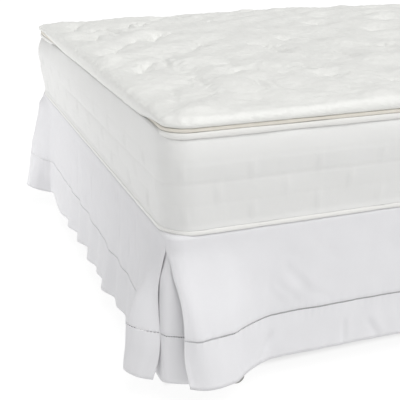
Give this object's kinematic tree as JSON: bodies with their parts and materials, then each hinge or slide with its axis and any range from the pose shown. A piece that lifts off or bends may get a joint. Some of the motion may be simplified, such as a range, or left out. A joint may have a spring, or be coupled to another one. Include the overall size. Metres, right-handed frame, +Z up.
{
  "type": "bed skirt on a bed",
  "caption": "Split-corner bed skirt with corner inserts and a deep hemstitched border, hanging round a pillow-top mattress, box spring and steel frame, and open at the head.",
  "frame": {"origin": "on the floor under the bed's centre, at the middle of the centre glide foot's flat underside", "axes": "+X along the bed from the foot to the open head end, +Y across the bed towards the back long side, +Z up"},
  "size_m": [2.1439, 1.712, 0.662],
  "materials": {
    "skirt_cotton": "plain-woven white cotton, matt",
    "mattress_ticking": "quilted ivory ticking, slight sheen",
    "binding_tape": "rolled ivory tape",
    "box_spring_cloth": "plain woven cover, matt",
    "frame_steel": "dark powder coat",
    "glide_plastic": "moulded grey plastic"
  },
  "bodies": {
    "root": {"skirt_deck": "skirt_cotton", "skirt_foot": "skirt_cotton", "skirt_side_front": "skirt_cotton", "skirt_side_back": "skirt_cotton", "corner_insert_front": "skirt_cotton", "corner_insert_back": "skirt_cotton", "mattress_core": "mattress_ticking", "pillow_top": "mattress_ticking", "tape_lower": "binding_tape", "tape_upper": "binding_tape", "tape_pillow": "binding_tape", "box_spring": "box_spring_cloth", "rail_front": "frame_steel", "rail_back": "frame_steel", "cross_bar_foot": "frame_steel", "cross_bar_middle": "frame_steel", "cross_bar_head": "frame_steel", "leg_1": "frame_steel", "leg_2": "frame_steel", "leg_3": "frame_steel", "leg_4": "frame_steel", "leg_5": "frame_steel", "glide_foot_1": "glide_plastic", "glide_foot_2": "glide_plastic", "glide_foot_3": "glide_plastic", "glide_foot_4": "glide_plastic", "glide_foot_5": "glide_plastic"}
  },
  "joints": []
}
